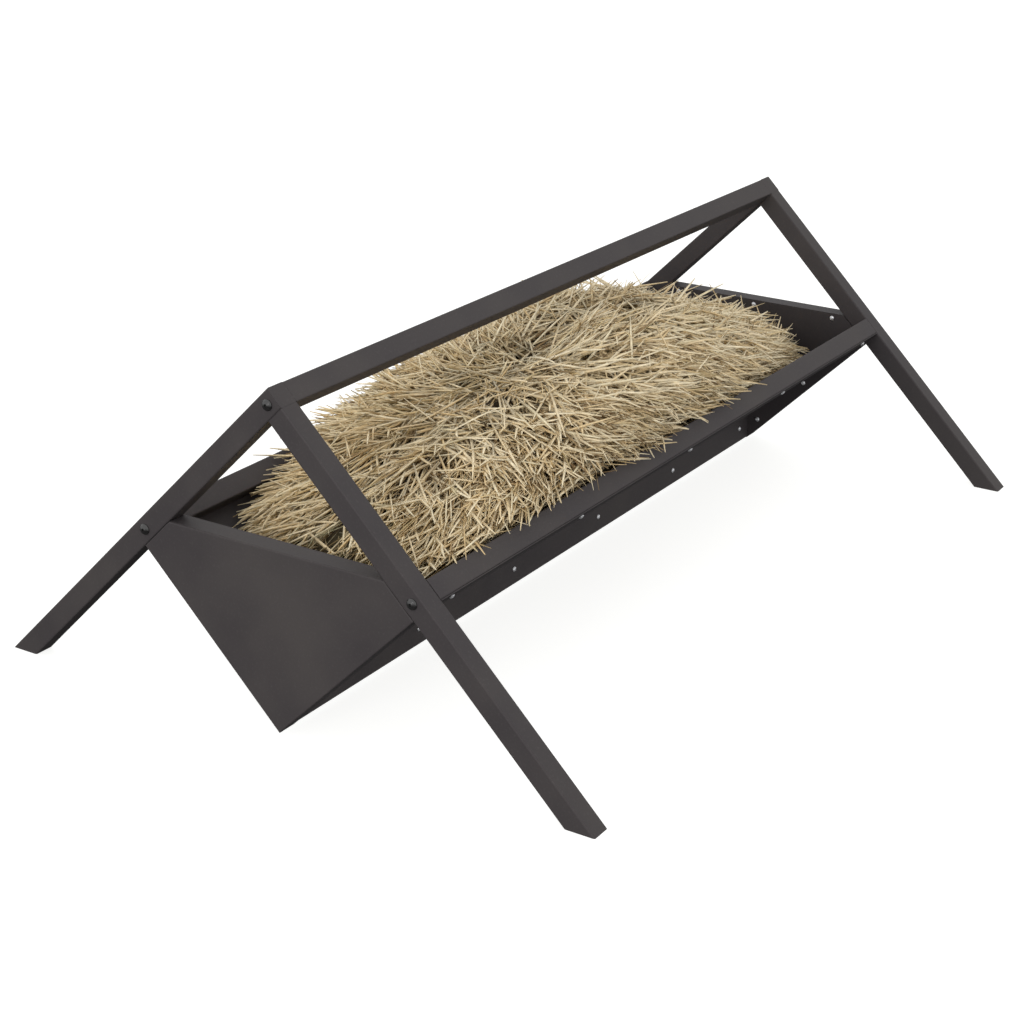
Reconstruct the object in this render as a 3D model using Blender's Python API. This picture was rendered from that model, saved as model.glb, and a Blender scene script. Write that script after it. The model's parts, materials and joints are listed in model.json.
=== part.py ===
"""Hay rack feeder.

Two A-shaped end frames carry a ridge tube, two rails and a trough of bent sheet between two boxed ends.
X runs along the ridge, Y across the feeder and Z up from the floor. The near end is at -X, the front at -Y.
The legs meet at a right angle, so everything that follows them slopes at 45 degrees.
"""

import math

import bmesh
import bpy
from mathutils import Vector

# Overall sizes, in metres
LENGTH = 1.810
HEIGHT = 0.620
SLOPE = math.sqrt(0.5)  # sine and cosine of the legs' 45 degrees

# Square tube
TUBE = 0.040
TUBE_WALL = 0.002
TUBE_CORNER = 0.0025
END_PLATE = 0.003

# Bent sheet
SHEET = 0.0015
BEND = 0.0022
PAN_TOP = 0.340  # height of the boxed ends
PAN_FLOOR_GAP = 0.003
PAN_LIP = 0.028  # return lip that the liner is screwed to
WALL_DROP = 0.0035  # how far the boxed ends reach below the rails' lower faces
FLANGE_TOP = 0.070  # upright flange in the middle of the trough
FLANGE_FOOT = 0.006

# Clearances
FIT = 0.0003  # between pieces that touch
HOLE_CLEARANCE = 0.0003  # round a shank, on the radius

# Frame bolts
FRAME_SHANK = 0.004
FRAME_HEAD = 0.010
FRAME_HEAD_HEIGHT = 0.0058
FRAME_SOCKET = 0.0025
FRAME_REACH = 0.006  # of the shank past the welded end plate

# Sheet screws and flange bolts
SCREW_SHANK = 0.003
SCREW_HEAD = 0.0053
SCREW_HEAD_HEIGHT = 0.0033
SCREW_SOCKET = 0.0018
SCREW_LENGTH = 0.012
NUT_ACROSS = 0.010
NUT_HEIGHT = 0.005

RAIL_SCREWS = 5
RAIL_SCREW_INSET = 0.049  # from the rail's end
FLANGE_BOLTS = 6
FLANGE_BOLT_INSET = 0.045
LINER_TOP_SCREWS = 3
LINER_TOP_SCREW_DROP = 0.011
LINER_TOP_SCREW_INSET = 0.027
LINER_EDGE_SCREW_DEPTH = 0.0175
LINER_EDGE_SCREW_SHARES = (0.136, 0.530)  # of the sloping edge, from the lowest corner

# Hay, as two plain halves
HAY_GAP = 0.004  # from the middle plane
HAY_END_GAP = 0.012
HAY_PANEL_GAP = 0.008
HAY_RAIL_GAP = 0.007
HAY_RIDGE_GAP = 0.060  # from the crest to the ridge's lowest corner
HAY_END_TAPER = 0.340
HAY_END_RISE = 0.17  # share of the crest's height over the rails that is left at both ends
HAY_BOXINESS = 2.4  # power of the crown's superellipse; 2 is a plain ellipse
HAY_STATIONS = 12

# Where the pieces meet, worked out from the sizes above
WALL_DOWN = (HEIGHT - PAN_FLOOR_GAP) * SLOPE  # from the apex to the trough's sloping edge, along a leg
RAIL_DOWN = WALL_DOWN - WALL_DROP - TUBE
SPAN_END = LENGTH / 2 - TUBE  # the end frames' inner faces

SMOOTH_ANGLE = math.radians(35)


def clear_scene():
    for old in list(bpy.data.objects):
        bpy.data.objects.remove(old)


def coat(name, colour, roughness, metallic):
    """A Principled material in one colour."""
    material = bpy.data.materials.new(name)
    material.use_nodes = True
    shader = material.node_tree.nodes["Principled BSDF"]
    shader.inputs["Base Color"].default_value = (*colour, 1.0)
    shader.inputs["Roughness"].default_value = roughness
    shader.inputs["Metallic"].default_value = metallic
    return material


def slant(side, down, depth):
    """The point `down` metres from the apex along a leg's outer face and `depth` inside it, as (y, z)."""
    return Vector((side * (down - depth) * SLOPE, HEIGHT - (down + depth) * SLOPE))


def at_height(side, height, depth):
    """The point at a height on the line `depth` inside a leg's outer face, as (y, z)."""
    return Vector((side * (HEIGHT - height - depth / SLOPE), height))


def inset(outline, margin):
    """A convex outline with every edge moved inwards by the margin."""
    centre = sum(outline, Vector((0.0, 0.0))) / len(outline)
    moved = []
    for start, end in zip(outline, outline[1:] + outline[:1]):
        along = (end - start).normalized()
        inward = Vector((-along.y, along.x))
        if inward.dot(centre - start) < 0:
            inward = -inward
        moved.append((start + inward * margin, along))
    corners = []
    for before, after in zip(moved[-1:] + moved[:-1], moved):
        gap = after[0] - before[0]
        turn = before[1].x * after[1].y - before[1].y * after[1].x
        reach = (gap.x * after[1].y - gap.y * after[1].x) / turn
        corners.append(before[0] + before[1] * reach)
    return corners


def prism_mesh(name, outline, length, rounded=None, corner=0.0):
    """An outline in Y and Z, extruded along X about the origin; rounded(edge) picks the edges to round."""
    shape = bmesh.new()
    ring = [shape.verts.new((-length / 2, point.x, point.y)) for point in outline]
    face = shape.faces.new(ring)
    grown = bmesh.ops.extrude_face_region(shape, geom=[face])["geom"]
    moved = [item for item in grown if isinstance(item, bmesh.types.BMVert)]
    bmesh.ops.translate(shape, verts=moved, vec=(length, 0.0, 0.0))
    bmesh.ops.recalc_face_normals(shape, faces=shape.faces)
    if rounded:
        edges = [edge for edge in shape.edges if rounded(edge)]
        bmesh.ops.bevel(shape, geom=edges, offset=corner, segments=2, profile=0.5, affect="EDGES")
    mesh = bpy.data.meshes.new(name)
    shape.to_mesh(mesh)
    shape.free()
    return mesh


def runs_along(direction):
    """A test for edges parallel to a direction."""
    direction = Vector(direction).normalized()

    def test(edge):
        along = (edge.verts[1].co - edge.verts[0].co).normalized()
        return abs(along.dot(direction)) > 0.999

    return test


def place(name, mesh, parent, location=(0.0, 0.0, 0.0), axis=None):
    """An object for a mesh, its local +Z turned to the axis."""
    piece = bpy.data.objects.new(name, mesh)
    bpy.context.scene.collection.objects.link(piece)
    piece.location = location
    if axis:
        piece.rotation_mode = "QUATERNION"
        piece.rotation_quaternion = Vector((0, 0, 1)).rotation_difference(Vector(axis))
    piece.parent = parent
    return piece


def finish(piece, material):
    piece.data.materials.clear()
    piece.data.materials.append(material)
    piece.data.shade_smooth()
    piece.data.set_sharp_from_angle(angle=SMOOTH_ANGLE)
    return piece


def take_away(piece, cutter):
    """Cuts the cutter's shape out of the piece."""
    cutter.hide_render = True
    cutter.display_type = "WIRE"
    cut = piece.modifiers.new(cutter.name, "BOOLEAN")
    cut.operation = "DIFFERENCE"
    cut.solver = "EXACT"
    cut.object = cutter


def drill(piece, holes):
    """Cuts round holes, each given as (centre, axis, radius, length) in the piece's own space."""
    shape = bmesh.new()
    for centre, axis, radius, length in holes:
        turn = Vector((0, 0, 1)).rotation_difference(Vector(axis)).to_matrix().to_4x4()
        turn.translation = centre
        bmesh.ops.create_cone(
            shape, cap_ends=True, segments=12, radius1=radius, radius2=radius, depth=length, matrix=turn
        )
    mesh = bpy.data.meshes.new(piece.name + "_holes")
    shape.to_mesh(mesh)
    shape.free()
    take_away(piece, place(mesh.name, mesh, piece))


def hollow_out(piece, outline, length, offset=0.0, name="cavity"):
    """Cuts a prism out of the piece's inside."""
    mesh = prism_mesh(piece.name + "_" + name, outline, length)
    take_away(piece, place(mesh.name, mesh, piece, (offset, 0.0, 0.0)))


def rim_radius(radius, angle, is_hex):
    """A round rim's radius, or a hexagon's where radius is half its width across flats."""
    if not is_hex:
        return radius
    sixth = math.radians(60)
    return radius / math.cos((angle + sixth / 2) % sixth - sixth / 2)


def turned_mesh(name, profile, segments):
    """A closed turned shape about Z. The profile runs from top to bottom as (radius, z, is_hex)."""
    shape = bmesh.new()
    rims = []
    for radius, height, is_hex in profile:
        if radius == 0.0:
            rims.append([shape.verts.new((0.0, 0.0, height))])
            continue
        rim = []
        for step in range(segments):
            angle = math.tau * step / segments
            reach = rim_radius(radius, angle, is_hex)
            rim.append(shape.verts.new((reach * math.cos(angle), reach * math.sin(angle), height)))
        rims.append(rim)
    if profile[0] == profile[-1]:
        rims[-1] = rims[0]
    for upper, lower in zip(rims, rims[1:]):
        for step in range(segments):
            following = (step + 1) % segments
            if len(upper) == 1:
                shape.faces.new((upper[0], lower[step], lower[following]))
            elif len(lower) == 1:
                shape.faces.new((upper[step], lower[0], upper[following]))
            else:
                shape.faces.new((upper[step], lower[step], lower[following], upper[following]))
    loose = [vertex for vertex in shape.verts if not vertex.link_faces]
    bmesh.ops.delete(shape, geom=loose, context="VERTS")
    bmesh.ops.recalc_face_normals(shape, faces=shape.faces)
    mesh = bpy.data.meshes.new(name)
    shape.to_mesh(mesh)
    shape.free()
    return mesh


def domed_bolt_mesh(name, shank, head, height, socket, length, segments):
    """A low domed head with a hexagon socket, standing on z = 0, and a plain shank below it."""
    socket_rim = socket * 1.25
    crown = 0.92  # share of the height at the socket's rim
    edge = 0.22  # share of the height of the head's upright edge
    profile = [
        (0.0, height * 0.4, False),
        (socket, height * 0.4, True),
        (socket, height * crown, True),
        (socket_rim, height * crown, False),
        (head * 0.80, height * 0.62, False),
        (head, height * edge, False),
        (head, 0.0, False),
        (shank, 0.0, False),
        (shank, -length, False),
        (0.0, -length, False),
    ]
    return turned_mesh(name, profile, segments)


def nut_mesh(name):
    bore = SCREW_SHANK + HOLE_CLEARANCE
    profile = [
        (bore, NUT_HEIGHT, False),
        (NUT_ACROSS / 2, NUT_HEIGHT, True),
        (NUT_ACROSS / 2, 0.0, True),
        (bore, 0.0, False),
        (bore, NUT_HEIGHT, False),
    ]
    return turned_mesh(name, profile, 12)


def spread(count, half_length):
    """Evenly spaced places from -half_length to +half_length."""
    return [half_length * (2 * step / (count - 1) - 1) for step in range(count)]


def rail_bolt_place(side):
    return slant(side, RAIL_DOWN + TUBE / 2, TUBE / 2)


def ridge_bolt_place():
    return slant(1, TUBE / 2, TUBE / 2)


def leg_outline(side, start, wall, foot):
    """A leg seen from its end: from `start` below the apex down to the foot's height."""
    return [
        slant(side, start, wall),
        slant(side, start, TUBE - wall),
        at_height(side, foot, TUBE - wall),
        at_height(side, foot, wall),
    ]


def make_leg(name, end, side, start, bolt_places, parent, material):
    """A hollow leg with welded end plates and bolt holes through both side walls."""
    mesh = prism_mesh(
        name, leg_outline(side, start, 0.0, 0.0), TUBE, runs_along((0, side, -1)), TUBE_CORNER
    )
    leg = place(name, mesh, parent, (end * (LENGTH / 2 - TUBE / 2), 0.0, 0.0))
    hollow_out(leg, leg_outline(side, start + END_PLATE, TUBE_WALL, END_PLATE), TUBE - 2 * TUBE_WALL)
    radius = FRAME_SHANK + HOLE_CLEARANCE
    drill(leg, [((0.0, at.x, at.y), (1, 0, 0), radius, TUBE * 1.5) for at in bolt_places])
    return finish(leg, material)


def make_legs(parent, material):
    """At each end the back leg runs up to the apex and the front leg butts against it."""
    for label, end in (("near", -1), ("far", 1)):
        back_bolts = [ridge_bolt_place(), rail_bolt_place(1)]
        make_leg(label + "_back_leg", end, 1, 0.0, back_bolts, parent, material)
        make_leg(label + "_front_leg", end, -1, TUBE + FIT, [rail_bolt_place(-1)], parent, material)


def tube_outline(side, down, wall):
    return [
        slant(side, down + wall, wall),
        slant(side, down + wall, TUBE - wall),
        slant(side, down + TUBE - wall, TUBE - wall),
        slant(side, down + TUBE - wall, wall),
    ]


def rail_screw_places():
    return spread(RAIL_SCREWS, SPAN_END - RAIL_SCREW_INSET)


def make_cross_tube(name, side, down, screw_places, parent, material):
    """A square tube between the end frames, with tapped end plates and screw holes in its lower face."""
    half = SPAN_END - FIT
    mesh = prism_mesh(name, tube_outline(side, down, 0.0), 2 * half, runs_along((1, 0, 0)), TUBE_CORNER)
    tube = place(name, mesh, parent)
    hollow_out(tube, tube_outline(side, down, TUBE_WALL), 2 * (half - END_PLATE))
    middle = slant(side, down + TUBE / 2, TUBE / 2)
    radius = FRAME_SHANK + HOLE_CLEARANCE
    holes = []
    for end in (-1, 1):
        holes.append(((end * half, middle.x, middle.y), (1, 0, 0), radius, END_PLATE * 4))
    lower = slant(side, down + TUBE, TUBE / 2)
    for x in screw_places:
        holes.append(((x, lower.x, lower.y), (0, side, -1), SCREW_SHANK + HOLE_CLEARANCE, TUBE_WALL * 4))
    drill(tube, holes)
    return finish(tube, material)


def panel_outline(side):
    """Flat under the rail, down the slope, then upright beside the middle plane."""
    under_rail = RAIL_DOWN + TUBE + FIT
    middle = side * FIT / 2
    top_line = [
        slant(side, under_rail, 0.0),
        slant(side, under_rail, TUBE),
        Vector((middle, FLANGE_TOP)),
        Vector((middle, FLANGE_FOOT)),
    ]
    return top_line + thickened(top_line, side)


def thickened(line, side):
    """The other face of a sheet whose inner face is the line, listed back to its start."""
    shifted = []
    for start, end in zip(line, line[1:]):
        along = (end - start).normalized()
        away = Vector((along.y, -along.x)) * -side
        shifted.append((start + away * SHEET, end + away * SHEET, along))
    points = [shifted[0][0]]
    for before, after in zip(shifted, shifted[1:]):
        gap = after[0] - before[0]
        turn = before[2].x * after[2].y - before[2].y * after[2].x
        reach = (gap.x * after[2].y - gap.y * after[2].x) / turn
        points.append(before[0] + before[2] * reach)
    points.append(shifted[-1][1])
    return points[::-1]


def flange_bolt_places():
    return spread(FLANGE_BOLTS, SPAN_END - FLANGE_BOLT_INSET)


def flange_bolt_height():
    return (FLANGE_TOP + FLANGE_FOOT) / 2


def make_panel(name, side, parent, material):
    half = SPAN_END - FIT
    panel = place(name, prism_mesh(name, panel_outline(side), 2 * half), parent)
    radius = SCREW_SHANK + HOLE_CLEARANCE
    under = slant(side, RAIL_DOWN + TUBE + SHEET / 2, TUBE / 2)
    holes = [((x, under.x, under.y), (0, side, -1), radius, SHEET * 6) for x in rail_screw_places()]
    for x in flange_bolt_places():
        holes.append(((x, side * SHEET / 2, flange_bolt_height()), (0, 1, 0), radius, SHEET * 6))
    drill(panel, holes)
    return finish(panel, material)


def wall_reach():
    """How far a boxed end's sloping wall reaches from the middle plane, which is also its rise."""
    return (HEIGHT - (TUBE + FIT) / SLOPE - PAN_FLOOR_GAP) / 2


def end_outline():
    """The boxed end seen from its end: two sloping walls, the two legs' inner faces and the top."""
    depth = TUBE + FIT
    low = Vector((0.0, PAN_FLOOR_GAP))
    half_corner = wall_reach()
    points = [low]
    points.append(Vector((half_corner, PAN_FLOOR_GAP + half_corner)))
    points.append(at_height(1, PAN_TOP, depth))
    points.append(at_height(-1, PAN_TOP, depth))
    points.append(Vector((-half_corner, PAN_FLOOR_GAP + half_corner)))
    return points


def liner_screw_places():
    """Screws along the top and up both sloping edges, as (y, z)."""
    top = at_height(1, PAN_TOP, TUBE + FIT).x - LINER_TOP_SCREW_INSET
    places = [Vector((y, PAN_TOP - LINER_TOP_SCREW_DROP)) for y in spread(LINER_TOP_SCREWS, top)]
    for side in (-1, 1):
        for share in LINER_EDGE_SCREW_SHARES:
            along = share * wall_reach() / SLOPE
            y = side * (along - LINER_EDGE_SCREW_DEPTH) * SLOPE
            places.append(Vector((y, PAN_FLOOR_GAP + (along + LINER_EDGE_SCREW_DEPTH) * SLOPE)))
    return places


def make_end_pan(name, end, parent, material):
    """A five-sided sheet box, open towards the trough inside a return lip."""
    depth = TUBE - SHEET - FIT
    outline = end_outline()

    def outer_edges(edge):
        return all(vertex.co.x * end > 0 for vertex in edge.verts)

    mesh = prism_mesh(name, outline, depth, outer_edges, BEND)
    pan = place(name, mesh, parent, (end * (LENGTH / 2 - depth / 2), 0.0, 0.0))
    hollow_out(pan, inset(outline, SHEET), depth - 2 * SHEET)
    mouth = SHEET * 4
    hollow_out(pan, inset(outline, PAN_LIP), mouth, -end * depth / 2, "mouth")
    radius = SCREW_SHANK + HOLE_CLEARANCE
    rim = -end * depth / 2
    drill(pan, [((rim, at.x, at.y), (1, 0, 0), radius, SHEET * 6) for at in liner_screw_places()])
    return finish(pan, material)


def make_end_liner(name, end, parent, material):
    """A flat plate over the pan's open side, flush with the legs' inner faces."""
    liner = place(
        name, prism_mesh(name, end_outline(), SHEET), parent, (end * (SPAN_END + SHEET / 2), 0.0, 0.0)
    )
    radius = SCREW_SHANK + HOLE_CLEARANCE
    drill(liner, [((0.0, at.x, at.y), (1, 0, 0), radius, SHEET * 6) for at in liner_screw_places()])
    return finish(liner, material)


def make_frame_bolts(parent, material):
    """Three at each end, through the leg into the end plate of the ridge or a rail."""
    length = TUBE + END_PLATE + FRAME_REACH
    mesh = domed_bolt_mesh(
        "frame_bolt", FRAME_SHANK, FRAME_HEAD, FRAME_HEAD_HEIGHT, FRAME_SOCKET, length, 24
    )
    places = {"ridge": ridge_bolt_place(), "front": rail_bolt_place(-1), "back": rail_bolt_place(1)}
    for label, end in (("near", -1), ("far", 1)):
        for where, at in places.items():
            location = (end * (LENGTH / 2 + FIT), at.x, at.y)
            bolt = place(f"{label}_{where}_frame_bolt", mesh, parent, location, (end, 0, 0))
            finish(bolt, material)


def make_rail_screws(mesh, parent, material):
    """Up through each panel into the lower face of its rail."""
    for label, side in (("front", -1), ("back", 1)):
        at = slant(side, RAIL_DOWN + TUBE + SHEET + 2 * FIT, TUBE / 2)
        for number, x in enumerate(rail_screw_places(), 1):
            screw = place(f"{label}_rail_screw_{number}", mesh, parent, (x, at.x, at.y), (0, side, -1))
            finish(screw, material)


def make_flange_bolts(mesh, parent, material):
    """Through both upright flanges, with the heads in front and the nuts behind."""
    nut = nut_mesh("flange_nut")
    face = SHEET + 1.5 * FIT
    for number, x in enumerate(flange_bolt_places(), 1):
        bolt = place(
            f"flange_bolt_{number}", mesh, parent, (x, -face, flange_bolt_height()), (0, -1, 0)
        )
        finish(bolt, material)
        ring = place(f"flange_nut_{number}", nut, parent, (x, face, flange_bolt_height()), (0, 1, 0))
        finish(ring, material)


def make_liner_screws(mesh, parent, material):
    for label, end in (("near", -1), ("far", 1)):
        for number, at in enumerate(liner_screw_places(), 1):
            location = (end * (SPAN_END - FIT), at.x, at.y)
            screw = place(f"{label}_liner_screw_{number}", mesh, parent, location, (-end, 0, 0))
            finish(screw, material)


def hay_section(side, fullness):
    """Half of the heap seen from its end; fullness 1 is the middle of the heap and 0 its ends."""
    slope = panel_slope()
    bottom = FLANGE_TOP + HAY_GAP * slope + HAY_PANEL_GAP * math.sqrt(1 + slope * slope)
    rail_corner = slant(1, RAIL_DOWN, TUBE)
    foot = rail_corner.x - HAY_RAIL_GAP - 0.55 * TUBE
    shoulder = rail_corner.y + 0.2 * TUBE
    full_rise = HEIGHT - TUBE / SLOPE - HAY_RIDGE_GAP - shoulder
    rise = full_rise * (HAY_END_RISE + (1 - HAY_END_RISE) * fullness)
    points = [
        (HAY_GAP, bottom),
        (foot, bottom + (foot - HAY_GAP) * slope),
        (rail_corner.x - HAY_RAIL_GAP / 2, shoulder),
    ]
    for turn in (0, 22, 45, 68, 90):
        angle = math.radians(turn)
        across = math.cos(angle) ** (2 / HAY_BOXINESS) if turn < 90 else 0.0
        up = math.sin(angle) ** (2 / HAY_BOXINESS)
        y = HAY_GAP + (rail_corner.x - HAY_GAP) * across
        points.append((y, shoulder + 0.15 * rise + 0.85 * rise * up))
    return [(side * y, z) for y, z in points]


def panel_slope():
    """Rise over run of the panels between the flange and the rail."""
    upper = slant(1, RAIL_DOWN + TUBE + FIT, TUBE)
    return (upper.y - FLANGE_TOP) / (upper.x - FIT / 2)


def make_hay(name, side, parent, material):
    """A closed heap lofted along X, lower at both ends."""
    half = SPAN_END - HAY_END_GAP
    shape = bmesh.new()
    rings = []
    for step in range(HAY_STATIONS):
        x = -half * math.cos(math.pi * step / (HAY_STATIONS - 1))
        from_end = min(1.0, (half - abs(x)) / HAY_END_TAPER)
        fullness = math.sin(from_end * math.pi / 2)
        rings.append([shape.verts.new((x, y, z)) for y, z in hay_section(side, fullness)])
    for first, second in zip(rings, rings[1:]):
        for index in range(len(first)):
            following = (index + 1) % len(first)
            shape.faces.new((first[index], first[following], second[following], second[index]))
    shape.faces.new(rings[0][::-1])
    shape.faces.new(rings[-1])
    bmesh.ops.recalc_face_normals(shape, faces=shape.faces)
    mesh = bpy.data.meshes.new(name)
    shape.to_mesh(mesh)
    shape.free()
    return finish(place(name, mesh, parent), material)


def main():
    clear_scene()
    anthracite = coat("anthracite_powder_coat", (0.062, 0.056, 0.057), 0.55, 0.0)
    black = coat("black_oxide", (0.012, 0.012, 0.012), 0.35, 0.6)
    zinc = coat("bright_zinc", (0.62, 0.62, 0.63), 0.25, 1.0)
    straw = coat("dry_hay", (0.55, 0.43, 0.26), 0.9, 0.0)

    feeder = bpy.data.objects.new("feeder", None)
    bpy.context.scene.collection.objects.link(feeder)

    make_legs(feeder, anthracite)
    make_cross_tube("ridge_tube", 1, 0.0, [], feeder, anthracite)
    for label, side in (("front", -1), ("back", 1)):
        make_cross_tube(label + "_rail", side, RAIL_DOWN, rail_screw_places(), feeder, anthracite)
        make_panel(label + "_panel", side, feeder, anthracite)
        make_hay("hay_" + label, side, feeder, straw)
    for label, end in (("near", -1), ("far", 1)):
        make_end_pan(label + "_end_pan", end, feeder, anthracite)
        make_end_liner(label + "_end_liner", end, feeder, anthracite)

    screw = domed_bolt_mesh(
        "sheet_screw", SCREW_SHANK, SCREW_HEAD, SCREW_HEAD_HEIGHT, SCREW_SOCKET, SCREW_LENGTH, 12
    )
    make_frame_bolts(feeder, black)
    make_rail_screws(screw, feeder, zinc)
    make_flange_bolts(screw, feeder, zinc)
    make_liner_screws(screw, feeder, zinc)


main()
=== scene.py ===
"""Hay rack feeder: powder coat, fasteners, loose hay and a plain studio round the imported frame."""

import json
import math

import bpy
import numpy as np
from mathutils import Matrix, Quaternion, Vector


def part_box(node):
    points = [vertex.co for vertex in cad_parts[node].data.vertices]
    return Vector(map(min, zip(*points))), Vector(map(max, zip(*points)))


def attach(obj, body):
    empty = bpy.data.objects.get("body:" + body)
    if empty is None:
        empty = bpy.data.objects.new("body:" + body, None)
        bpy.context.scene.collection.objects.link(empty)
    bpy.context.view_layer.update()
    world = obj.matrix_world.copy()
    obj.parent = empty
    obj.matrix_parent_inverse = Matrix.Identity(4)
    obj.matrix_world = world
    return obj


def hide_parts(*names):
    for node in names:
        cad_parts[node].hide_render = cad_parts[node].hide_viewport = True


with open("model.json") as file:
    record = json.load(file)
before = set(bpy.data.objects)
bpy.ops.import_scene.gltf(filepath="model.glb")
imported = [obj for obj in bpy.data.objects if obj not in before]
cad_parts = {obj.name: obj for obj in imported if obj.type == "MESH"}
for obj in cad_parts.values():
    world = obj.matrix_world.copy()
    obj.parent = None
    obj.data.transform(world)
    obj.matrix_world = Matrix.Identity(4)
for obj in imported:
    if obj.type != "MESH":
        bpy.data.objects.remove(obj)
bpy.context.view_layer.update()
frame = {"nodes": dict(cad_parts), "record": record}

MM = 0.001
SEED = 20


def linear(code):
    """An sRGB hex colour as linear red, green, blue and alpha."""
    levels = [int(code[start:start + 2], 16) / 255 for start in (1, 3, 5)]
    lit = [level / 12.92 if level <= 0.04045 else ((level + 0.055) / 1.055) ** 2.4 for level in levels]
    return (*lit, 1.0)


# Camera: its place, heading, downward tilt and turn about its own axis, in metres and degrees, then its
# lens in millimetres and how far it sees
CAMERA_PLACE = (-3.344, -1.998, 1.679)
CAMERA_HEADING = 32.2
CAMERA_TILT = 22.04
CAMERA_ROLL = 0.59
CAMERA_LENS = 73.13
CAMERA_REACH = 200

# Light: the dome's strength overhead and underfoot, then the key light, its power in watts
DOME_ABOVE = 0.96
DOME_BELOW = 0.08
DOME_CHANGE = (-0.40, -0.02)  # the heights between which it changes, where the horizon is 0 and the top 1
KEY_POWER = 50
KEY_PLACE = (-4.6, -0.6, 1.5)
KEY_TARGET = (-0.3, 0, 0.3)
KEY_SIZE = 1.6

# Finishes
ANTHRACITE = linear("#423E3F")
ANTHRACITE_WORN = linear("#625D5D")
DUST = linear("#7E786F")
BOLT_BLACK = linear("#1B1A1A")
BOLT_BLACK_THIN = linear("#2E2C2B")
ZINC = linear("#F2F3F5")
ZINC_CLOUD = linear("#D5D7DB")
STRAW_LIGHT = linear("#FFEFCC")
STRAW_MID = linear("#E8CC9A")
STRAW_BROWN = linear("#8A6E49")
STRAW_GREEN = linear("#8D9160")
# The heap's inside: hay in painted shadow, brown with greener patches
HEAP_DARK = linear("#392F22")
HEAP_MID = linear("#8A744F")
HEAP_GREEN = linear("#4B4F2C")
FLOOR_GREY = linear("#9C9C9B")
FLOOR_SCUFFED = linear("#989897")
DOME_WHITE = linear("#FFFFFF")
FLOOR_GLOW = 2.6  # a lit table: the shadow on it stays faint
FLOOR_HALF = 40.0
FLOOR_DROP = 0.5 * MM  # below the feet, so that no two faces lie in one plane

# Node kinds, and the colour sockets of a mix
NOISE = "ShaderNodeTexNoise"
RANGE = "ShaderNodeMapRange"
MIX = "ShaderNodeMix"
BUMP = "ShaderNodeBump"
PLACE = "ShaderNodeTexCoord"
SHARE, FIRST, SECOND, MIXED = 0, 6, 7, 2


def set_inputs(tree, node, inputs):
    """Gives each named socket of a node its value, or links another node's output to it."""
    for socket, value in inputs.items():
        if isinstance(value, bpy.types.NodeSocket):
            tree.links.new(value, node.inputs[socket])
        else:
            node.inputs[socket].default_value = value


def add_node(tree, kind, inputs, output=0, **settings):
    """Adds a node with its settings and links, and returns one of its outputs."""
    node = tree.nodes.new(kind)
    for name, value in settings.items():
        setattr(node, name, value)
    set_inputs(tree, node, inputs)
    return node.outputs[output]


def new_material(name):
    """A material with a Principled shader: the material, its tree, the shader and the place on the piece."""
    material = bpy.data.materials.new(name)
    material.use_nodes = True
    tree = material.node_tree
    return material, tree, tree.nodes["Principled BSDF"], add_node(tree, PLACE, {}, "Object")


def per_metre(size):
    """The scale of a pattern whose blotches are about `size` millimetres across."""
    return 1000 / size


def powder_coat():
    """Matt anthracite powder coat on steel: even and dark, with a fine orange peel and a little dust."""
    material, tree, shader, place = new_material("anthracite_powder_coat")
    cloud = add_node(tree, NOISE, {"Vector": place, "Scale": per_metre(160), "Detail": 3})
    grain = add_node(tree, NOISE, {"Vector": place, "Scale": per_metre(5), "Roughness": 0.6})
    peel = add_node(tree, NOISE, {"Vector": place, "Scale": per_metre(3.5), "Detail": 1})
    dusty = add_node(tree, RANGE, {"Value": cloud, "From Min": 0.35, "From Max": 0.7, "To Max": 0.10})
    rubbed = add_node(tree, RANGE, {"Value": grain, "From Min": 0.55, "From Max": 0.75, "To Max": 0.16})
    matt = {"Value": cloud, "From Min": 0.3, "From Max": 0.7, "To Min": 0.50, "To Max": 0.62}
    tint = add_node(tree, MIX, {SHARE: dusty, FIRST: ANTHRACITE, SECOND: DUST}, MIXED, data_type="RGBA")
    worn = {SHARE: rubbed, FIRST: tint, SECOND: ANTHRACITE_WORN}
    finish = {
        "Base Color": add_node(tree, MIX, worn, MIXED, data_type="RGBA"),
        "Roughness": add_node(tree, RANGE, matt),
        "Normal": add_node(tree, BUMP, {"Height": peel, "Strength": 0.12, "Distance": 0.4 * MM}, "Normal"),
        "Specular IOR Level": 0.14,  # a textured coat scatters most of its sheen
    }
    set_inputs(tree, shader, finish)
    return material


def black_bolt():
    """Black-oxidised steel: near black, with a soft sheen on the dome."""
    material, tree, shader, place = new_material("black_oxide")
    stain = add_node(tree, NOISE, {"Vector": place, "Scale": per_metre(6)})
    thin = add_node(tree, RANGE, {"Value": stain, "From Min": 0.4, "From Max": 0.7, "To Max": 0.4})
    sheen = {"Value": stain, "From Min": 0.3, "From Max": 0.7, "To Min": 0.14, "To Max": 0.26}
    black = {SHARE: thin, FIRST: BOLT_BLACK, SECOND: BOLT_BLACK_THIN}
    finish = {
        "Base Color": add_node(tree, MIX, black, MIXED, data_type="RGBA"),
        "Roughness": add_node(tree, RANGE, sheen),
        "Specular IOR Level": 1.0,  # an oiled finish: a small bright glint on the dome
    }
    set_inputs(tree, shader, finish)
    return material


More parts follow.
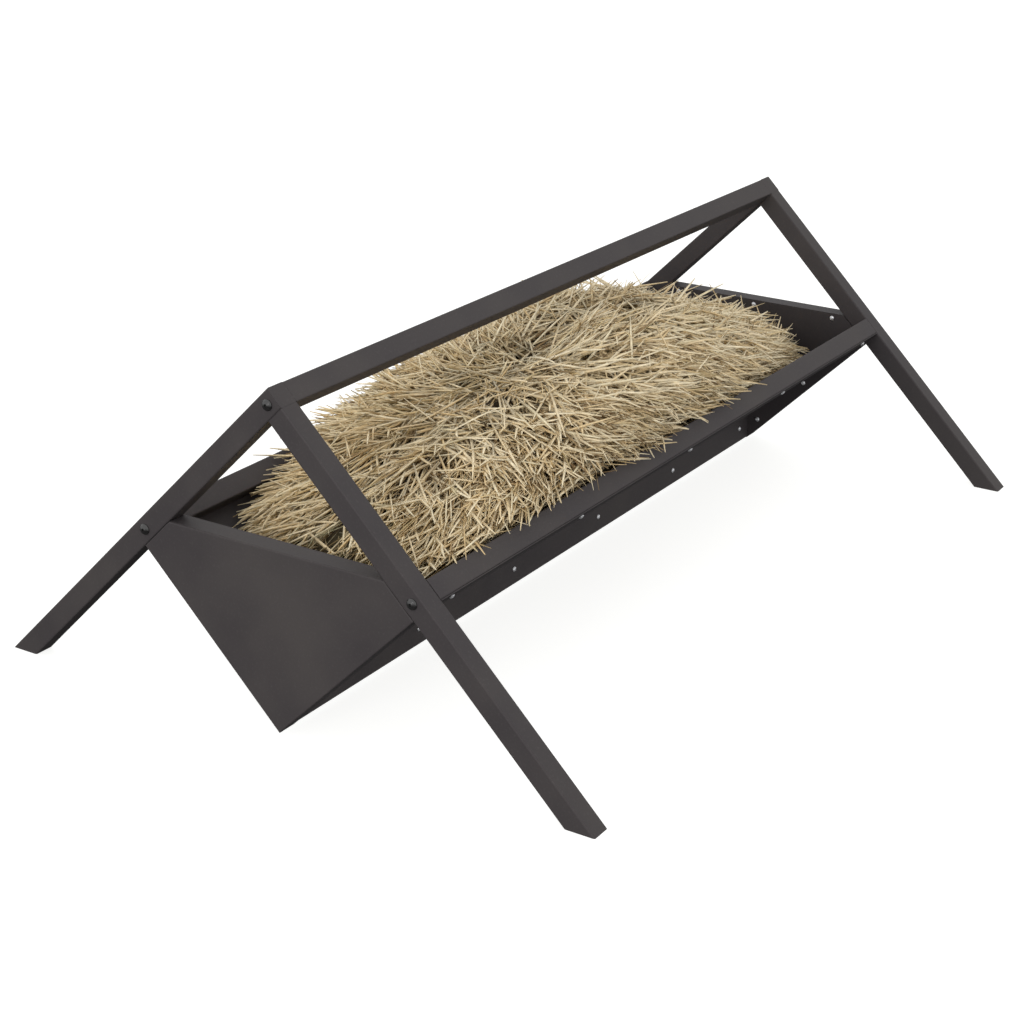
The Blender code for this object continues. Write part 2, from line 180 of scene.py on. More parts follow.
def bright_zinc():
    """Bright zinc plate: light and softly shining, slightly clouded."""
    material, tree, shader, place = new_material("bright_zinc")
    cloud = add_node(tree, NOISE, {"Vector": place, "Scale": per_metre(4)})
    dulled = add_node(tree, RANGE, {"Value": cloud, "From Min": 0.35, "From Max": 0.7, "To Max": 0.5})
    sheen = {"Value": cloud, "From Min": 0.3, "From Max": 0.7, "To Min": 0.24, "To Max": 0.40}
    plate = {SHARE: dulled, FIRST: ZINC, SECOND: ZINC_CLOUD}
    finish = {
        "Base Color": add_node(tree, MIX, plate, MIXED, data_type="RGBA"),
        "Roughness": add_node(tree, RANGE, sheen),
        "Metallic": 0.6,  # keeps the small heads bright where they face down
    }
    set_inputs(tree, shader, finish)
    return material


def dried_stalks():
    """Sun-dried grass stalks: pale straw, browner or greener from stalk to stalk, with painted shade that
    darkens each stalk towards its root.
    """
    material, tree, shader, place = new_material("dried_grass_stalks")
    stalk = add_node(tree, "ShaderNodeAttribute", {}, "Color", attribute_name="stalk")
    bright = add_node(tree, "ShaderNodeSeparateColor", {"Color": stalk}, "Red")
    share_along, leafy = bright.node.outputs["Green"], bright.node.outputs["Blue"]
    tone = add_node(tree, "ShaderNodeValToRGB", {"Fac": bright}, "Color")
    ramp = tone.node.color_ramp
    ramp.elements[0].color = STRAW_BROWN
    ramp.elements[1].color = STRAW_LIGHT
    ramp.elements.new(0.4).color = STRAW_MID
    straw = add_node(tree, MIX, {SHARE: leafy, FIRST: tone, SECOND: STRAW_GREEN}, MIXED, data_type="RGBA")
    streak = add_node(tree, NOISE, {"Vector": place, "Scale": per_metre(14), "Detail": 3, "Roughness": 0.6})
    fibre = add_node(tree, NOISE, {"Vector": place, "Scale": per_metre(2.5)})
    streaks = {"Value": streak, "From Min": 0.3, "From Max": 0.7, "To Min": 0.78, "To Max": 1.08}
    shade = add_node(tree, RANGE, streaks)
    # painted shade: each stalk is darker towards its root, where it goes into the heap
    painted_root_shade = add_node(tree, RANGE, {"Value": share_along, "From Max": 0.6, "To Min": 0.62})
    # the random streaks times the painted shade towards the root
    streaks_and_painted_shade = add_node(tree, "ShaderNodeMath", {0: shade, 1: painted_root_shade}, operation="MULTIPLY")
    shaded = {SHARE: 1.0, FIRST: straw, SECOND: streaks_and_painted_shade}
    finish = {
        "Base Color": add_node(tree, MIX, shaded, MIXED, data_type="RGBA", blend_type="MULTIPLY"),
        "Roughness": 0.62,
        "Normal": add_node(tree, BUMP, {"Height": fibre, "Strength": 0.25, "Distance": 0.4 * MM}, "Normal"),
    }
    set_inputs(tree, shader, finish)
    return material


def packed_hay():
    """The shaded inside of the heap: a dense mat of crossing stalks in brown shadow."""
    material, tree, shader, place = new_material("packed_hay")
    warp = add_node(tree, NOISE, {"Vector": place, "Scale": per_metre(60)}, "Color")
    bent = add_node(tree, "ShaderNodeVectorMath", {0: place, 1: warp}, operation="ADD")
    run = add_node(tree, "ShaderNodeMapping", {"Vector": bent, "Scale": (0.12, 1.0, 1.0)})
    strands = add_node(tree, NOISE, {"Vector": run, "Scale": per_metre(4), "Detail": 3, "Roughness": 0.6})
    patches = add_node(tree, NOISE, {"Vector": place, "Scale": per_metre(90)})
    lit = add_node(tree, RANGE, {"Value": strands, "From Min": 0.4, "From Max": 0.68})
    leafy = add_node(tree, RANGE, {"Value": patches, "From Min": 0.5, "From Max": 0.7, "To Max": 0.5})
    brown = add_node(tree, MIX, {SHARE: lit, FIRST: HEAP_DARK, SECOND: HEAP_MID}, MIXED, data_type="RGBA")
    mat = {SHARE: leafy, FIRST: brown, SECOND: HEAP_GREEN}
    finish = {
        "Base Color": add_node(tree, MIX, mat, MIXED, data_type="RGBA"),
        "Roughness": 0.9,
        "Normal": add_node(tree, BUMP, {"Height": strands, "Strength": 0.9, "Distance": 4 * MM}, "Normal"),
    }
    set_inputs(tree, shader, finish)
    return material


def studio_floor_paint():
    """A plain floor that glows evenly, so that it shows white and the shadow on it stays faint."""
    material, tree, shader, place = new_material("studio_floor")
    cloud = add_node(tree, NOISE, {"Vector": place, "Scale": per_metre(900)})
    scuffed = add_node(tree, RANGE, {"Value": cloud, "From Min": 0.3, "From Max": 0.7, "To Max": 0.3})
    grey = {SHARE: scuffed, FIRST: FLOOR_GREY, SECOND: FLOOR_SCUFFED}
    colour = add_node(tree, MIX, grey, MIXED, data_type="RGBA")
    finish = {
        "Base Color": colour,
        "Roughness": 0.8,
        "Emission Color": colour,
        "Emission Strength": FLOOR_GLOW,
    }
    set_inputs(tree, shader, finish)
    return material


# ---------------------------------------------------------------- the hay

# The trough that holds it, from the frame
RAIL_LOW, RAIL_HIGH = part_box("front_rail")
RIDGE_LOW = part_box("ridge_tube")[0].z
NEAR_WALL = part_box("near_end_liner")[1].x
FAR_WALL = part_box("far_end_liner")[0].x
RAIL_TOP = RAIL_HIGH.z
RAIL_CREST_Y = -(RAIL_LOW.y + RAIL_HIGH.y) / 2
RAIL_INNER_Y = -RAIL_HIGH.y

BOLT_LOW, BOLT_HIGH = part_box("flange_bolt_1")
FLANGE_TOP = BOLT_LOW.z + BOLT_HIGH.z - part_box("front_panel")[0].z  # its bolts run along its middle

EDGE_Y = RAIL_INNER_Y + 8 * MM  # where the heap meets the rails
EDGE_Z = RAIL_TOP - 16 * MM
CREST_Z = RIDGE_LOW - 66 * MM
NEAR_END = NEAR_WALL + 8 * MM
FAR_END = FAR_WALL - 22 * MM
CROWN_POWER = 2.3
VALLEY_DEPTH = 24 * MM  # a hollow trodden under the ridge, deepest before the middle
VALLEY_WIDTH = 62 * MM
VALLEY_LENGTH = 210 * MM
VALLEY_X = NEAR_END + 0.36 * (FAR_END - NEAR_END)
PARTING_X = NEAR_END + 0.38 * (FAR_END - NEAR_END)  # the hay lies outwards from here
OVER_SHEET = 12 * MM  # the heap's edge, where it stops short of a rail
LUMP_HEIGHT = 13 * MM
TUFT_HEIGHT = 7 * MM

# The inside of the heap, under its surface
CORE_SINK = 20 * MM
CORE_INNER = 3 * MM  # from the middle plane
CORE_RIM = 15 * MM  # from the heap's own edge
CORE_BOTTOM = 16 * MM  # above the trough's sheet

# How many stalks lie in one half of the hay
TUFTS = 400
STALKS_IN_TUFT = 17
LOOSE_STALKS = 2400
WISPS = 800
PRESSED_COUNTS = {"lower": 2700, "inner": 2900, "rim": 1200, "ends": 600}

# Stalk sizes in millimetres, as (middle, spread, least, most). They are thicker than the real ones, so
# that each shows
TUFT_LENGTH = (128, 32, 50, 210)
TUFT_RADIUS = (1.9, 0.55, 0.8, 3.2)
LOOSE_LENGTH = (130, 36, 60, 220)
LOOSE_RADIUS = (2.5, 0.5, 1.3, 3.4)
WISP_LENGTH = (110, 30, 50, 180)
WISP_RADIUS = (1.1, 0.25, 0.7, 1.8)
PRESSED_LENGTH = (100, 28, 40, 160)
PRESSED_RADIUS = (2.0, 0.4, 1.0, 2.6)

# How stalks lie
NEAR_COMBED = 480 * MM  # how far the tidy hay reaches from each end
FAR_COMBED = 330 * MM
NEAR_FAN = 1.25  # a higher number lays the stalks more along the feeder
FAR_FAN = 0.75
GREEN_REACH = 150 * MM  # of the greener hay, from each end
TUFT_SWING = 0.42  # spreads of a tuft's heading and of each stalk's in it, in radians
STALK_SWING = 0.14
TUFT_LONG = 30 * MM  # spreads of a tuft's stalks along the feeder and across it
TUFT_WIDE = 20 * MM
ROOT_SHARE = 0.45  # of a stalk's length, behind its plan point
STALK_SAG = 0.02  # spreads of a stalk's bend up or down and sideways, as shares of its length
STALK_SWEEP = 0.05
EDGE_LIFT = np.radians(38)  # stalks that point out over an edge rise
STRAY = 0.8  # spread of a single stalk's heading, in radians
SHADE_DEPTH = 20 * MM  # a stalk sunk this deep is in the painted shade
STALK_CLEAR = 4 * MM  # from a stalk's middle to the steel
PRESSED_CLEAR = 3.5 * MM
OVER_RAIL = 30 * MM  # how far a stalk may reach out beyond a rail's crest

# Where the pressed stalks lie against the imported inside
PRESSED_UNDER = 2.5 * MM  # below its lower face
PRESSED_MIDDLE = 3.2 * MM  # from the middle plane
PRESSED_OUTSIDE = 2 * MM  # outside its rim
INNER_TOP = 8 * MM  # highest ones, below the heap's surface
OUTER_TOP = 6 * MM

# The heap's outline from the near end to the far one: share of the length, crest at the front and at the
# back as shares of the way from the flange to the full crest, and half-widths at the front and back as
# shares of the full one
HEAP_STATIONS = (
    (0.00, 0.56, 0.50, 0.92, 0.38),
    (0.03, 0.61, 0.53, 0.97, 0.55),
    (0.07, 0.68, 0.57, 1.00, 0.70),
    (0.14, 0.79, 0.66, 1.00, 0.86),
    (0.24, 0.90, 0.77, 1.00, 0.97),
    (0.40, 0.97, 0.92, 1.00, 1.00),
    (0.55, 1.00, 1.00, 0.99, 1.00),
    (0.66, 0.97, 0.97, 0.94, 1.00),
    (0.76, 0.87, 0.87, 0.86, 0.92),
    (0.85, 0.75, 0.75, 0.75, 0.80),
    (0.93, 0.60, 0.60, 0.60, 0.68),
    (1.00, 0.42, 0.42, 0.42, 0.50),
)


def waves(seed, wavelength, count=14):
    """A smooth random field over the plan, from -1 to 1, as a sum of sine waves."""
    rng = np.random.default_rng(seed)
    heading = rng.uniform(0, math.tau, count)
    pitch = wavelength * rng.uniform(0.7, 1.5, count)
    phase = rng.uniform(0, math.tau, count)

    def field(x, y):
        total = 0
        for angle, length, start in zip(heading, pitch, phase):
            total = total + np.sin((x * math.cos(angle) + y * math.sin(angle)) * math.tau / length + start)
        return np.clip(total / math.sqrt(count), -1.6, 1.6) / 1.6

    return field


lumps = waves(SEED + 1, 230 * MM)
tufts = waves(SEED + 2, 85 * MM)
comb = waves(SEED + 3, 190 * MM)


def station(x, column):
    """One column of the heap's outline at a place along its length."""
    share = np.clip((x - NEAR_END) / (FAR_END - NEAR_END), 0, 1)
    table = np.array(HEAP_STATIONS)
    return np.interp(share, table[:, 0], table[:, column])


def half_width(x, y):
    """How far the heap reaches from the middle on the side of a plan point."""
    return EDGE_Y * np.where(y < 0, station(x, 3), station(x, 4))


def panel_top(across):
    """Height of the trough's sheet at a distance from the middle plane."""
    return FLANGE_TOP + (RAIL_LOW.z - FLANGE_TOP) * np.minimum(across / RAIL_CREST_Y, 1)


def heap_top(x, y):
    """Height of the heap's surface over the plan."""
    width = half_width(x, y)
    across = np.clip(np.abs(y) / width, 0, 1)
    crown = (1 - across ** CROWN_POWER) ** (1 / CROWN_POWER)
    at_rail = np.clip((width / EDGE_Y - 0.8) / 0.2, 0, 1)
    edge = panel_top(width) + OVER_SHEET + (EDGE_Z - panel_top(EDGE_Y) - OVER_SHEET) * at_rail
    back = np.clip(y / VALLEY_WIDTH, -1, 1) / 2 + 0.5
    share = station(x, 1) * (1 - back) + station(x, 2) * back
    crest = FLANGE_TOP + (CREST_Z - FLANGE_TOP) * share
    full = np.clip((crest - RAIL_TOP) / (CREST_Z - RAIL_TOP), 0, 1)
    hollow = np.exp(-(((x - VALLEY_X) / VALLEY_LENGTH) ** 2)) + 0.3
    valley = VALLEY_DEPTH * np.exp(-((y / VALLEY_WIDTH) ** 2)) * full * hollow
    rough = (LUMP_HEIGHT * lumps(x, y) + TUFT_HEIGHT * tufts(x, y)) * crown * (0.4 + 0.6 * full)
    return edge + (crest - edge) * crown - valley + rough


def frames_at(x, y):
    """The heap's surface point and unit normal over each plan point."""
    step = 5 * MM
    inner = np.clip(np.abs(y), 0, half_width(x, y) - step) * np.sign(y)
    slope_x = (heap_top(x + step, inner) - heap_top(x - step, inner)) / (2 * step)
    slope_y = (heap_top(x, inner + step) - heap_top(x, inner - step)) / (2 * step)
    along_steep, across_steep = 0.5, 2.2  # stalks at the ends reach out level instead of drooping
    slope_x = np.clip(slope_x, -along_steep, along_steep)
    slope_y = np.clip(slope_y, -across_steep, across_steep)
    normal = np.stack([-slope_x, -slope_y, np.ones_like(x)], 1)
    normal /= np.linalg.norm(normal, axis=1)[:, None]
    return np.stack([x, y, heap_top(x, y)], 1), normal


def unit(vectors):
    """Rows of vectors, each made one long."""
    return vectors / np.maximum(np.linalg.norm(vectors, axis=1), 1e-9)[:, None]


RINGS = 5
SIDES = 3
RING_SHARE = np.array([0.55, 1.0, 1.0, 0.9, 0.35])  # thickness along a stalk


def stalk_mesh(name, root, along, up, length, radius, bend, tone):
    """Closed three-sided stalks in one mesh. bend moves a stalk's middle up or down and its tip to one side;
    tone is its brightness and its green, kept with the share along it in a colour attribute.
    """
    count = len(root)
    share = np.linspace(0, 1, RINGS)
    side = unit(np.cross(along, up))
    lift = np.cross(side, along)
    curve = share[None, :, None] * length[:, None, None] * along[:, None, :]
    curve = curve + (4 * share * (1 - share))[None, :, None] * bend[:, 0][:, None, None] * lift[:, None, :]
    curve = curve + (share ** 2)[None, :, None] * bend[:, 1][:, None, None] * side[:, None, :]
    centre = root[:, None, :] + curve
    turn = np.arange(SIDES) * math.tau / SIDES
    ring = np.cos(turn)[None, None, :, None] * side[:, None, None, :]
    ring = ring + np.sin(turn)[None, None, :, None] * lift[:, None, None, :]
    points = centre[:, :, None, :] + ring * (radius[:, None] * RING_SHARE[None, :])[:, :, None, None]
    points = points.reshape(-1, 3)
    quads = []
    for level in range(RINGS - 1):
        for corner in range(SIDES):
            following = (corner + 1) % SIDES
            low, high = level * SIDES, (level + 1) * SIDES
            quads.append([low + corner, low + following, high + following, high + corner])
    quads = np.array(quads)
    last = (RINGS - 1) * SIDES
    caps = np.array([[2, 1, 0], [last, last + 1, last + 2]])
    start = np.arange(count) * RINGS * SIDES
    quad_all = (quads[None] + start[:, None, None]).reshape(-1, 4)
    cap_all = (caps[None] + start[:, None, None]).reshape(-1, 3)
    mesh = bpy.data.meshes.new(name)
    mesh.vertices.add(len(points))
    mesh.vertices.foreach_set("co", points.astype(np.float32).ravel())
    loops = np.concatenate([quad_all.ravel(), cap_all.ravel()]).astype(np.int32)
    mesh.loops.add(len(loops))
    mesh.loops.foreach_set("vertex_index", loops)
    starts = np.concatenate([np.arange(len(quad_all)) * 4, len(quad_all) * 4 + np.arange(len(cap_all)) * 3])
    mesh.polygons.add(len(starts))
    mesh.polygons.foreach_set("loop_start", starts.astype(np.int32))
    mesh.update(calc_edges=True)
    mesh.validate()
    colour = np.ones((count, RINGS, SIDES, 4), np.float32)
    colour[..., 0] = tone[:, 0][:, None, None]
    colour[..., 1] = share[None, :, None]
    colour[..., 2] = tone[:, 1][:, None, None]
    mesh.color_attributes.new("stalk", "FLOAT_COLOR", "POINT").data.foreach_set("color", colour.ravel())
    return mesh


def along_stalk(parts, share):
    """The middle of each stalk at a share of its length, with its bend."""
    root, along, up, length, _, bend, _ = parts
    side = unit(np.cross(along, up))
    lift = np.cross(side, along)
    straight = root + along * (share * length)[:, None]
    return straight + lift * (4 * share * (1 - share) * bend[:, :1]) + side * (share ** 2 * bend[:, 1:])


def clear_of_steel(spot, margin):
    """Which points are inside the trough's walls and clear of its sheet, the ridge and the rails."""
    across = np.abs(spot[:, 1])
    good = (spot[:, 0] > NEAR_WALL + margin) & (spot[:, 0] < FAR_WALL - margin)
    good &= spot[:, 2] < RIDGE_LOW - margin
    good &= spot[:, 2] > panel_top(across) + 1.4 * margin
    corner = (RAIL_TOP - RAIL_LOW.z) / 2
    from_rail = np.abs(across - RAIL_CREST_Y) + np.abs(spot[:, 2] - RAIL_TOP + corner)
    return good & (from_rail > corner + 1.5 * margin)


def stalk_sizes(rng, count, size, extra=0.0):
    """Random lengths or radii from a size as (middle, spread, least, most) in millimetres."""
    middle, spread, least, most = (value * MM for value in size)
    return np.clip(rng.normal(middle, spread, count) + extra, least, most)


def plan_points(rng, count, side):
    """Random plan points on one half of the heap, closer together where its flank is steep."""
    x = rng.uniform(NEAR_END, FAR_END, count)
    outwards = 0.85  # a power under 1 moves the points down the flank
    angle = rng.uniform(0, 1, count) ** outwards * math.pi / 2
    y = side * half_width(x, np.full(count, side)) * np.sin(angle) ** (2 / CROWN_POWER)
    return x, y


def heading_at(x, y):
    """Which way the stalks lie over the plan, as an angle from +X: outwards from the parting."""
    run = (x - PARTING_X) * np.where(x < PARTING_X, NEAR_FAN, FAR_FAN)
    drop = y + np.sign(y) * 20 * MM  # by the middle plane too, a stalk leans to its own side
    tousle = 0.55 - 0.4 * combed(x)
    return np.arctan2(drop, run) + tousle * comb(x, y)


def combed(x):
    """How tidily the stalks lie: 1 at the near end, less at the far one and 0 in the tousled middle."""
    near = 1 - np.clip((x - NEAR_END) / NEAR_COMBED, 0, 1)
    far = 1 - np.clip((FAR_END - x) / FAR_COMBED, 0, 1)
    return np.maximum(near, 0.6 * far)


def stalk_parts(rng, x, y, angle, tilt, length, radius, sunk, bright, green):
    """Everything stalk_mesh needs for stalks at plan points, each pointing by its angle and tilt."""
    point, normal = frames_at(x, y)
    flat = np.stack([np.cos(angle), np.sin(angle), np.zeros_like(angle)], 1)
    at_edge = np.clip(np.abs(y) / half_width(x, y) / 0.35 - 1.8, 0, 1)  # rises from 63% to 98% of the way
    outwards = np.clip(np.sin(angle) * np.sign(y), 0, 1)
    tilt = tilt + EDGE_LIFT * (1 - 0.7 * combed(x)) * at_edge * outwards
    along = unit(flat - (flat * normal).sum(1)[:, None] * normal)
    along = unit(along * np.cos(tilt)[:, None] + normal * np.sin(tilt)[:, None])
    root = point - normal * sunk[:, None] - along * length[:, None] * ROOT_SHARE
    count = len(x)
    sag = rng.normal(0, STALK_SAG, count) * length
    sweep = rng.normal(0, STALK_SWEEP, count) * length
    bend = np.stack([sag, sweep], 1)
    tone = np.stack([np.clip(bright, 0, 1), np.clip(green, 0, 0.8)], 1)
    return keep_inside([root, along, normal, length, radius, bend, tone])


def end_green(x):
    """How green the deep stalks are: 1 at both ends, 0 beyond the greener hay."""
    return 1 - np.clip(np.minimum(x - NEAR_END, FAR_END - x) / GREEN_REACH, 0, 1)


def lay_tufts(rng, side, count, each):
    """Tufts of stalks that lie together, every tuft with its own swing, lift, height and shade; that shade
    is partly a random tone and partly painted light, brighter where the heap rises in tufts.
    """
    tuft_x, tuft_y = plan_points(rng, count, side)
    swing = rng.normal(0, TUFT_SWING, count) * np.where(tuft_x > PARTING_X, 1.5, 1.0)
    lift = np.abs(rng.normal(0, 9, count)) + 2
    sink = rng.uniform(-6, 24, count) * MM
    # a random tone for each tuft, plus painted light: lighter where the tufts raise the heap
    shade = rng.normal(0, 0.15, count) + 0.16 * tufts(tuft_x, tuft_y)
    which = np.repeat(np.arange(count), each)
    total = count * each
    x = np.clip(tuft_x[which] + rng.normal(0, TUFT_LONG, total), NEAR_END, FAR_END)
    y = tuft_y[which] + rng.normal(0, TUFT_WIDE, total)
    y = side * np.clip(np.abs(y), MM, half_width(x, np.full(total, side)) - MM)
    swing = swing * (1 - 0.6 * combed(tuft_x))
    angle = heading_at(tuft_x, tuft_y)[which] + swing[which] + rng.normal(0, STALK_SWING, total)
    tilt = np.radians(np.clip(lift[which] + rng.normal(0, 4, total), -4, 35))
    sunk = np.maximum(sink[which] + rng.uniform(0, 9 * MM, total), -MM)
    length = stalk_sizes(rng, total, TUFT_LENGTH, 25 * MM * combed(x))
    radius = stalk_sizes(rng, total, TUFT_RADIUS)
    # painted shade: the deeper a stalk is sunk, the darker it is
    bright = rng.beta(1.1, 1.1, total) + shade[which] - 0.4 * sunk / SHADE_DEPTH + 0.08
    green = 0.5 * rng.beta(1.2, 6, total) + 0.6 * end_green(x) * np.clip(sunk / SHADE_DEPTH, 0, 1)
    return stalk_parts(rng, x, y, angle, tilt, length, radius, sunk, bright, green)


def lay_loose(rng, side, count):
    """Single pale stalks lying across the tufts."""
    x, y = plan_points(rng, count, side)
    angle = heading_at(x, y) + rng.normal(0, STRAY, count) * (1 - 0.6 * combed(x))
    tilt = np.radians(np.clip(rng.normal(9, 9, count), -4, 38))
    length = stalk_sizes(rng, count, LOOSE_LENGTH)
    radius = stalk_sizes(rng, count, LOOSE_RADIUS)
    sunk = rng.uniform(-9, 1, count) * MM
    bright = rng.beta(2.6, 1.2, count) + 0.12
    return stalk_parts(rng, x, y, angle, tilt, length, radius, sunk, bright, 0.4 * rng.beta(1.2, 6, count))


def lay_wisps(rng, side, count):
    """Fine stalks that stand up out of the heap, and long low ones that reach out at both ends."""
    x, y = plan_points(rng, count, side)
    reach_out = rng.uniform(0, 1, count) < 0.45
    from_end = np.abs(rng.normal(0, 90 * MM, count)) + 20 * MM
    at_end = np.where(rng.uniform(0, 1, count) < 0.7, FAR_END - from_end, NEAR_END + from_end)
    x = np.where(reach_out, at_end, x)
    y = side * np.minimum(np.abs(y), half_width(x, y) - 2 * MM)
    angle = heading_at(x, y) + rng.normal(0, STRAY, count) * np.where(reach_out, 0.35, 1.0)
    low_tilt = rng.normal(8, 6, count)
    high_tilt = np.clip(rng.normal(24, 11, count), 6, 55)
    tilt = np.radians(np.where(reach_out, low_tilt, high_tilt))
    length = stalk_sizes(rng, count, WISP_LENGTH)
    radius = stalk_sizes(rng, count, WISP_RADIUS)
    sunk = rng.uniform(0, 6, count) * MM
    bright = rng.beta(3.5, 1.5, count) + 0.15
    green = 0.3 * rng.beta(1.2, 5, count) + np.where(reach_out, rng.uniform(0, 0.6, count), 0)
    return stalk_parts(rng, x, y, angle, tilt, length, radius, sunk, bright, green)


def keep_inside(parts):
    """Drops stalks that would run through the steel or hang far over a rail."""
    good = np.ones(len(parts[0]), bool)
    for share in np.linspace(0, 1, 9):
        spot = along_stalk(parts, share)
        across = np.abs(spot[:, 1])
        good &= clear_of_steel(spot, STALK_CLEAR)
        good &= (across < RAIL_CREST_Y) | (spot[:, 2] > RAIL_TOP - (across - RAIL_CREST_Y))
        good &= across < RAIL_CREST_Y + OVER_RAIL
    return [part[good] for part in parts]


def core_bottom(across):
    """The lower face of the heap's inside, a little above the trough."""
    return panel_top(across) + CORE_BOTTOM


def heap_core(name, side):
    """The dense inside of one half of the heap, as one closed lumpy solid."""
    across, down = 22, 130  # points over each section, and sections along the heap
    rows = []
    for x in np.linspace(NEAR_END + 4 * MM, FAR_END - 2 * MM, down):
        angle = np.linspace(0, math.pi / 2, across)
        outer = half_width(x, np.full(across, side)) - CORE_RIM
        y = CORE_INNER + (outer - CORE_INNER) * np.sin(angle) ** (2 / CROWN_POWER)
        bottom = core_bottom(y)
        z = np.maximum(heap_top(np.full(across, x), side * y) - CORE_SINK, bottom + 3 * MM)
        top = np.stack([np.full(across, x), side * y, z], 1)
        low = np.stack([np.full(across, x), side * y, bottom], 1)[::-1]
        rows.append(np.concatenate([top, low]))
    ring = len(rows[0])
    points = np.concatenate(rows)
    faces = []
    for row in range(down - 1):
        this, after = row * ring, (row + 1) * ring
        for column in range(ring):
            following = (column + 1) % ring
            faces.append((this + column, this + following, after + following, after + column))
    faces.append(tuple(range(ring))[::-1])
    faces.append(tuple(range((down - 1) * ring, down * ring)))
    if side < 0:
        faces = [face[::-1] for face in faces]
    mesh = bpy.data.meshes.new(name)
    mesh.from_pydata(points.tolist(), [], faces)
    mesh.update()
    return mesh


def pressed_spots(rng, x, side, face):
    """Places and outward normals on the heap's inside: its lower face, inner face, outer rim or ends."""
    count = len(x)
    outer = half_width(x, np.full(count, side)) - CORE_RIM
    share = rng.uniform(0, 1, count)
    flat = np.zeros(count)
    if face == "lower":
        across = CORE_INNER + (outer - CORE_INNER) * share
        height = core_bottom(across) - PRESSED_UNDER
        rise = (RAIL_LOW.z - FLANGE_TOP) / RAIL_CREST_Y
        normal = np.stack([flat, flat + side * rise, flat - 1], 1)
    elif face == "inner":
        across = flat + PRESSED_MIDDLE
        low = core_bottom(across)
        height = low + (heap_top(x, side * across) - INNER_TOP - low) * share
        normal = np.stack([flat, flat - side, flat], 1)
    elif face == "rim":
        across = outer + PRESSED_OUTSIDE
        low = core_bottom(across)
        height = low + (heap_top(x, side * (outer - MM)) - OUTER_TOP - low) * share
        normal = np.stack([flat, flat + side, flat - 0.3], 1)
    else:
        across = CORE_INNER + (outer - CORE_INNER) * share
        low = core_bottom(across)
        top = np.maximum(heap_top(x, side * across) - OUTER_TOP, low)
        height = low + (top - low) * rng.uniform(0, 1, count)
        normal = np.stack([np.sign(x), flat, flat], 1)
    return np.stack([x, side * across, height], 1), unit(normal)


def lay_pressed(rng, side, counts):
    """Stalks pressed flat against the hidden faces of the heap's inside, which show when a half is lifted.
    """
    batches = []
    for face, count in counts.items():
        x = rng.uniform(NEAR_END + 4 * MM, FAR_END - 2 * MM, count)
        if face == "ends":
            x = np.where(x < 0, NEAR_END + 2 * MM, FAR_END)
        spot, normal = pressed_spots(rng, x, side, face)
        level = unit(np.cross(normal, np.tile([0.0, -normal[0, 2], 1.0], (count, 1))))
        turn = rng.normal(0, 0.55, count) + math.pi * (rng.uniform(0, 1, count) < 0.5)
        along = unit(level * np.cos(turn)[:, None] + np.cross(normal, level) * np.sin(turn)[:, None])
        length = stalk_sizes(rng, count, PRESSED_LENGTH)
        root = spot - along * length[:, None] / 2
        radius = stalk_sizes(rng, count, PRESSED_RADIUS)
        bend = np.stack([np.zeros(count), rng.normal(0, 0.04, count) * length], 1)
        tone = np.stack([rng.beta(2.2, 2.0, count), 0.5 * rng.beta(1.2, 5, count)], 1)
        batches.append([root, along, normal, length, radius, bend, tone])
    parts = [np.concatenate(column) for column in zip(*batches)]
    good = np.ones(len(parts[0]), bool)
    for share in np.linspace(0, 1, 5):
        spot = along_stalk(parts, share)
        across = np.abs(spot[:, 1])
        good &= (across > 1.5 * MM) & (spot[:, 1] * side > 0)
        good &= clear_of_steel(spot, PRESSED_CLEAR)
        good &= spot[:, 2] < heap_top(spot[:, 0], spot[:, 1]) + 2 * MM
        good &= across < half_width(spot[:, 0], spot[:, 1]) - 3 * MM
    return [part[good] for part in parts]


def add_piece(name, mesh, material, body):
    """A piece in one material that rides on a body."""
    piece = bpy.data.objects.new(name, mesh)
    bpy.context.scene.collection.objects.link(piece)
    mesh.materials.append(material)
    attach(piece, body)
    return piece


def make_hay(stalks, packed):
    """Both halves of the heap: a packed core, tufts, loose stalks and wisps on top, pressed ones below."""
    for number, (label, side) in enumerate((("front", -1), ("back", 1))):
        rng = np.random.default_rng(SEED + 10 + number)
        body = "hay_" + label
        core = add_piece(f"hay_{label}_core", heap_core(f"hay_{label}_core", side), packed, body)
        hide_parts(body)
        layers = {
            "tufts": lay_tufts(rng, side, TUFTS, STALKS_IN_TUFT),
            "loose": lay_loose(rng, side, LOOSE_STALKS),
            "wisps": lay_wisps(rng, side, WISPS),
            "pressed": lay_pressed(rng, side, PRESSED_COUNTS),
        }
        for kind, parts in layers.items():
            name = f"hay_{label}_{kind}"
            add_piece(name, stalk_mesh(name, *parts), stalks, body)


# ---------------------------------------------------------------- finishes on the frame


def finish_frame():
    """Gives the steel and its fasteners their finishes."""
    finishes = {
        "anthracite_powder_coat": powder_coat(),
        "black_oxide": black_bolt(),
        "bright_zinc": bright_zinc(),
    }
    for part in frame["record"]["subparts"]:
        material = finishes.get(part["material_slot"])
        if material:
            for slot in frame["nodes"][part["node"]].material_slots:
                slot.material = material


# ---------------------------------------------------------------- studio


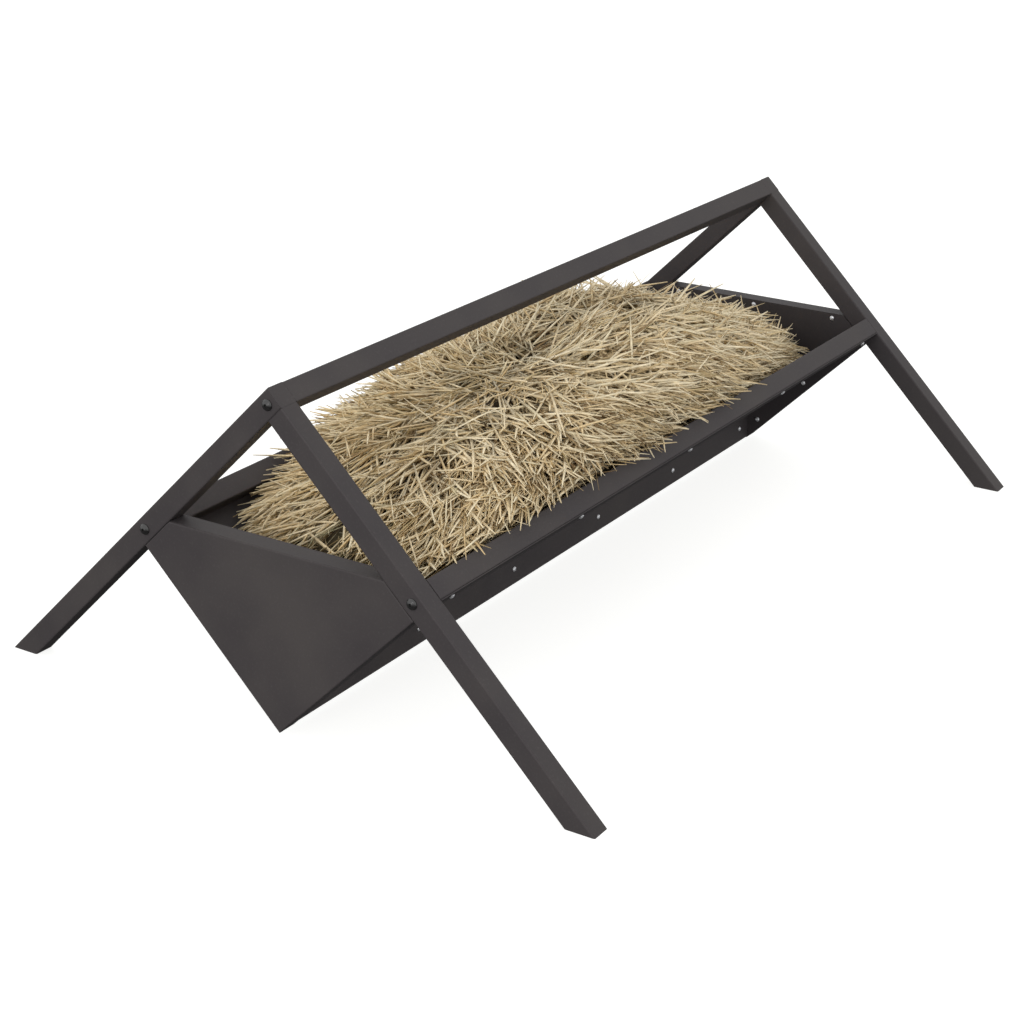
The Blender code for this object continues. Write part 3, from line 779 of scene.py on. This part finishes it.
def make_floor():
    """A wide flat floor that throws no light on the feeder and shows in no reflection."""
    near, far = -FLOOR_HALF, FLOOR_HALF
    mesh = bpy.data.meshes.new("studio_floor")
    mesh.from_pydata([(near, near, 0), (far, near, 0), (far, far, 0), (near, far, 0)], [], [(0, 1, 2, 3)])
    floor = bpy.data.objects.new("studio_floor", mesh)
    bpy.context.scene.collection.objects.link(floor)
    mesh.materials.append(studio_floor_paint())
    floor.location.z = -FLOOR_DROP
    floor.visible_diffuse = False
    floor.visible_glossy = False


def make_dome():
    """An even white dome that turns dim below the horizon, which keeps undersides dark."""
    world = bpy.data.worlds.new("studio_dome")
    bpy.context.scene.world = world
    world.use_nodes = True
    tree = world.node_tree
    back = tree.nodes["Background"]
    direction = add_node(tree, PLACE, {}, "Generated")
    height = add_node(tree, "ShaderNodeSeparateXYZ", {0: direction}, "Z")
    low, high = DOME_CHANGE
    change = {"Value": height, "From Min": low, "From Max": high, "To Min": DOME_BELOW, "To Max": DOME_ABOVE}
    set_inputs(tree, back, {"Strength": add_node(tree, RANGE, change), "Color": DOME_WHITE})


def soft_box(name, place, target, size, power):
    """A square soft light at a place, turned to a target."""
    light = bpy.data.lights.new(name, "AREA")
    light.shape = "SQUARE"
    light.size = size
    light.energy = power
    box = bpy.data.objects.new(name, light)
    bpy.context.scene.collection.objects.link(box)
    box.location = place
    box.rotation_mode = "QUATERNION"
    box.rotation_quaternion = (Vector(target) - Vector(place)).to_track_quat("-Z", "Y")


def make_camera():
    """The camera: beyond the near end and to the front, looking down along the feeder."""
    heading, tilt = math.radians(CAMERA_HEADING), math.radians(CAMERA_TILT)
    look = Vector((math.cos(heading) * math.cos(tilt), math.sin(heading) * math.cos(tilt), -math.sin(tilt)))
    lens = bpy.data.cameras.new("studio_camera")
    lens.lens = CAMERA_LENS
    lens.clip_end = CAMERA_REACH
    camera = bpy.data.objects.new("studio_camera", lens)
    bpy.context.scene.collection.objects.link(camera)
    camera.location = CAMERA_PLACE
    camera.rotation_mode = "QUATERNION"
    roll = Quaternion((0, 0, 1), math.radians(CAMERA_ROLL))
    camera.rotation_quaternion = look.to_track_quat("-Z", "Y") @ roll
    bpy.context.scene.camera = camera


finish_frame()
make_hay(dried_stalks(), packed_hay())
make_floor()
make_dome()
soft_box("key_light", KEY_PLACE, KEY_TARGET, KEY_SIZE, KEY_POWER)
make_camera()
bpy.context.scene.view_settings.view_transform = "Standard"
